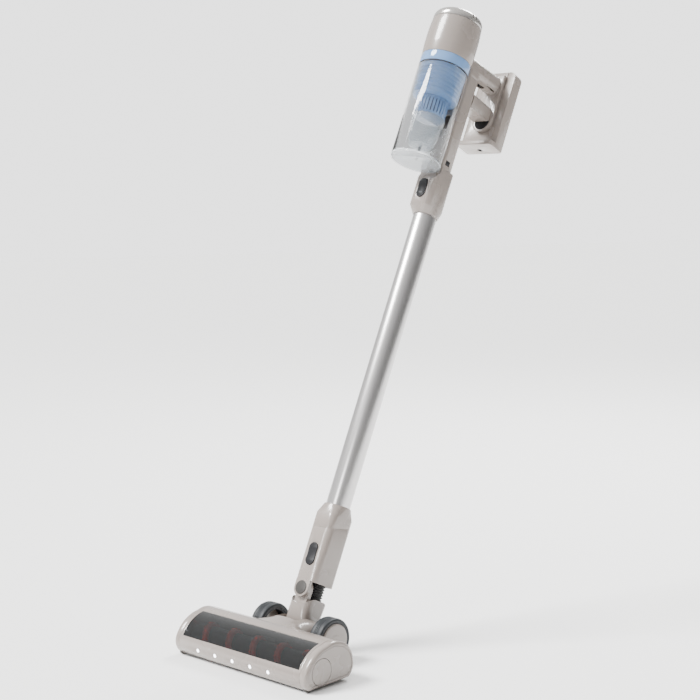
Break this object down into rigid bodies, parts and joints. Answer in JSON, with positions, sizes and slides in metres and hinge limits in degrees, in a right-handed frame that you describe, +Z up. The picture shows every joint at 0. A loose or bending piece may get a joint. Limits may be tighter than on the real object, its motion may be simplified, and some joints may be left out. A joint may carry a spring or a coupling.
{
  "type": "cordless stick vacuum",
  "caption": "Cordless stick vacuum: bagless cyclone hand unit with slide-off battery, straight metal wand, and a swivelling motorised floor head with a lit front and a helical brush roller.",
  "frame": {"origin": "middle of the lower face of the felt strip under the floor head, on the floor", "axes": "+X to the right across the floor head, -Y to the front of the head, +Z up; the stick leans back 25 degrees towards +Y"},
  "size_m": [0.268, 0.6133, 0.9613],
  "materials": {
    "body_plastic": "glossy warm light grey",
    "satin_tube": "satin silver anodised",
    "clear_plastic": "clear polycarbonate",
    "smoked_window": "smoked clear polycarbonate",
    "blue_plastic": "light blue translucent",
    "blue_screen": "dark blue satin",
    "dark_plastic": "satin dark grey",
    "black_plastic": "satin black",
    "rubber_black": "matt",
    "wheel_rubber": "matt slate grey",
    "steel": "ground",
    "motor_can": "zinc plated",
    "plush": "short dark pile",
    "bristle_red": "nylon tufts",
    "filter_felt": "pleated felt",
    "circuit_board": "solder mask",
    "cell_wrap": "shrink sleeve",
    "led_clear": "clear lens"
  },
  "bodies": {
    "hand_unit": {"motor_housing": "body_plastic", "top_cap": "body_plastic", "exhaust_filter": "filter_felt", "motor_stator": "motor_can", "spine_duct": "body_plastic", "upper_connector": "body_plastic", "handle_frame": "body_plastic", "control_board": "circuit_board", "trigger_spring": "steel"},
    "fan_rotor": {"motor_rotor": "steel", "impeller": "black_plastic"},
    "trigger": {"trigger": "black_plastic"},
    "upper_latch": {"upper_latch_button": "dark_plastic"},
    "bin_button": {"bin_release_button": "dark_plastic"},
    "battery_button": {"battery_release_button": "dark_plastic"},
    "dust_bin": {"bin_wall": "clear_plastic", "bin_seal": "rubber_black", "cyclone_body": "blue_plastic", "cyclone_screen": "blue_screen", "cyclone_cup": "clear_plastic", "cyclone_rod": "steel", "pre_filter": "filter_felt"},
    "bin_lid": {"bin_lid": "clear_plastic"},
    "battery_pack": {"battery_case": "body_plastic", "battery_cells": "cell_wrap", "battery_board": "circuit_board", "charge_socket": "black_plastic"},
    "wand": {"wand_tube": "satin_tube", "wand_inserts": "black_plastic", "wand_wiring": "black_plastic"},
    "neck_socket": {"socket_shell": "body_plastic", "socket_collar": "body_plastic", "swivel_pin": "steel", "swivel_cap": "dark_plastic", "neck_hose": "rubber_black"},
    "lower_latch": {"lower_latch_button": "dark_plastic"},
    "neck_yoke": {"neck_yoke": "body_plastic"},
    "floor_head": {"head_shell": "body_plastic", "head_window": "smoked_window", "sole_plate": "dark_plastic", "end_cap_left": "body_plastic", "end_cap_right": "body_plastic", "neck_cover": "body_plastic", "head_axles": "steel", "roller_motor": "motor_can", "led_board": "circuit_board", "led_lenses": "led_clear", "felt_strip": "plush", "head_screws": "steel", "drive_belt": "rubber_black"},
    "brush_roller": {"brush_core": "plush", "roller_ends": "black_plastic", "brush_bristles": "bristle_red"},
    "motor_pulley": {"motor_pulley": "steel"},
    "end_plug": {"end_plug": "body_plastic"},
    "wheel_left": {"wheel_hub_left": "body_plastic", "wheel_tyre_left": "wheel_rubber"},
    "wheel_right": {"wheel_hub_right": "body_plastic", "wheel_tyre_right": "wheel_rubber"},
    "front_rollers": {"front_rollers": "dark_plastic"}
  },
  "joints": [
    {"name": "motor_spin", "type": "hinge", "parent": "hand_unit", "child": "fan_rotor", "pos_m": [0, 0.39953, 0.9037], "axis": [0, 0.4226, 0.9063], "continuous": true},
    {"name": "trigger_pull", "type": "hinge", "parent": "hand_unit", "child": "trigger", "pos_m": [0, 0.4789, 0.84793], "axis": [-1, 0, 0], "range_deg": [0, 8], "stiffness_Nm_per_rad": 0.6, "springref_deg": -6.88},
    {"name": "upper_latch_press", "type": "slide", "parent": "hand_unit", "child": "upper_latch", "axis": [0, 0.9063, -0.4226], "range_m": [0, 0.002], "stiffness_N_per_m": 800, "springref_m": -0.0015},
    {"name": "bin_button_press", "type": "slide", "parent": "hand_unit", "child": "bin_button", "axis": [-1, 0, 0], "range_m": [0, 0.002], "stiffness_N_per_m": 600, "springref_m": -0.0015},
    {"name": "battery_button_press", "type": "slide", "parent": "hand_unit", "child": "battery_button", "axis": [0, 0.9063, -0.4226], "range_m": [0, 0.002], "stiffness_N_per_m": 800, "springref_m": -0.0015},
    {"name": "bin_slide", "type": "slide", "parent": "hand_unit", "child": "dust_bin", "axis": [0, -0.9063, 0.4226], "range_m": [0, 0.1]},
    {"name": "lid_open", "type": "hinge", "parent": "dust_bin", "child": "bin_lid", "pos_m": [0, 0.34871, 0.70408], "axis": [1, 0, 0], "range_deg": [0, 48]},
    {"name": "battery_slide", "type": "slide", "parent": "hand_unit", "child": "battery_pack", "axis": [0, -0.4226, -0.9063], "range_m": [0, 0.06]},
    {"name": "wand_slide", "type": "slide", "parent": "hand_unit", "child": "wand", "axis": [0, -0.4226, -0.9063], "range_m": [0, 0.045]},
    {"name": "socket_slide", "type": "slide", "parent": "wand", "child": "neck_socket", "axis": [0, -0.4226, -0.9063], "range_m": [0, 0.036]},
    {"name": "lower_latch_press", "type": "slide", "parent": "neck_socket", "child": "lower_latch", "axis": [0, 0.9063, -0.4226], "range_m": [0, 0.002], "stiffness_N_per_m": 800, "springref_m": -0.0015},
    {"name": "side_swivel", "type": "hinge", "parent": "neck_socket", "child": "neck_yoke", "pos_m": [0, 0.0827, 0.08819], "axis": [0, 0.9063, -0.4226], "range_deg": [-45, 45], "deforming": ["neck_hose"]},
    {"name": "head_tilt", "type": "hinge", "parent": "neck_yoke", "child": "floor_head", "pos_m": [0, 0.0565, 0.032], "axis": [1, 0, 0], "range_deg": [-25, 48]},
    {"name": "roller_spin", "type": "hinge", "parent": "floor_head", "child": "brush_roller", "pos_m": [0, -0.037, 0.0245], "axis": [1, 0, 0], "continuous": true},
    {"name": "motor_pulley_spin", "type": "hinge", "parent": "floor_head", "child": "motor_pulley", "pos_m": [-0.115, 0.01, 0.029], "axis": [1, 0, 0], "continuous": true},
    {"name": "end_plug_turn", "type": "hinge", "parent": "floor_head", "child": "end_plug", "pos_m": [0.125, -0.037, 0.0245], "axis": [1, 0, 0], "range_deg": [0, 60]},
    {"name": "wheel_left_spin", "type": "hinge", "parent": "floor_head", "child": "wheel_left", "pos_m": [-0.06, 0.055, 0.033], "axis": [1, 0, 0], "continuous": true},
    {"name": "wheel_right_spin", "type": "hinge", "parent": "floor_head", "child": "wheel_right", "pos_m": [0.06, 0.055, 0.033], "axis": [1, 0, 0], "continuous": true},
    {"name": "front_rollers_spin", "type": "hinge", "parent": "floor_head", "child": "front_rollers", "pos_m": [0, -0.058, 0.0044], "axis": [1, 0, 0], "continuous": true}
  ],
  "couplings": [
    {"joint": "motor_pulley_spin", "follows": "roller_spin", "ratio": 1.8}
  ]
}
